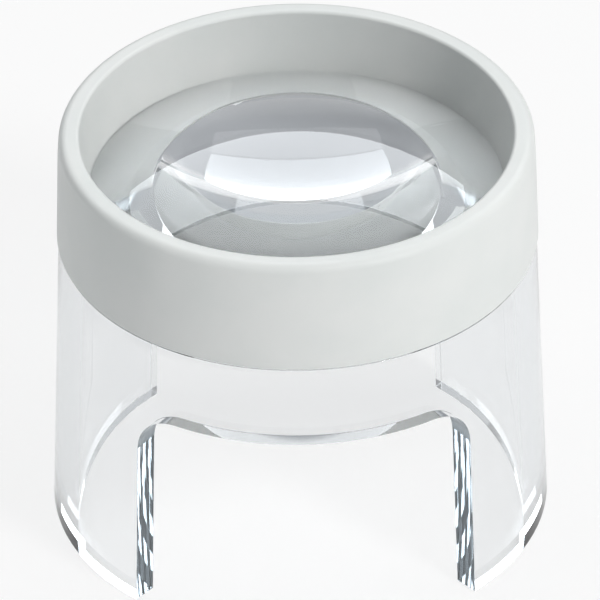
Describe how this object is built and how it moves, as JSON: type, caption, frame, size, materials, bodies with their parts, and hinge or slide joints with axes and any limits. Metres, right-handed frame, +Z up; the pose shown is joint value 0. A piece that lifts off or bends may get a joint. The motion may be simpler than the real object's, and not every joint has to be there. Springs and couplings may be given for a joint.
{
  "type": "stand magnifier",
  "caption": "Small round stand magnifier: a thick convex lens in a pale plastic ring on a clear flared stand with an arched opening front and back.",
  "frame": {"origin": "centre of the circle that the feet stand on", "axes": "+Z up along the lens axis, +X through the middle of one leg, -Y and +Y through the middles of the two arched openings"},
  "size_m": [0.0612, 0.0586, 0.0528],
  "materials": {
    "clear_stand": "polished clear acrylic, moulded",
    "lens_ring": "off-white moulded plastic, satin",
    "magnifying_lens": "optically polished clear acrylic"
  },
  "bodies": {
    "root": {"clear_stand": "clear_stand", "lens_ring": "lens_ring", "magnifying_lens": "magnifying_lens"}
  },
  "joints": []
}
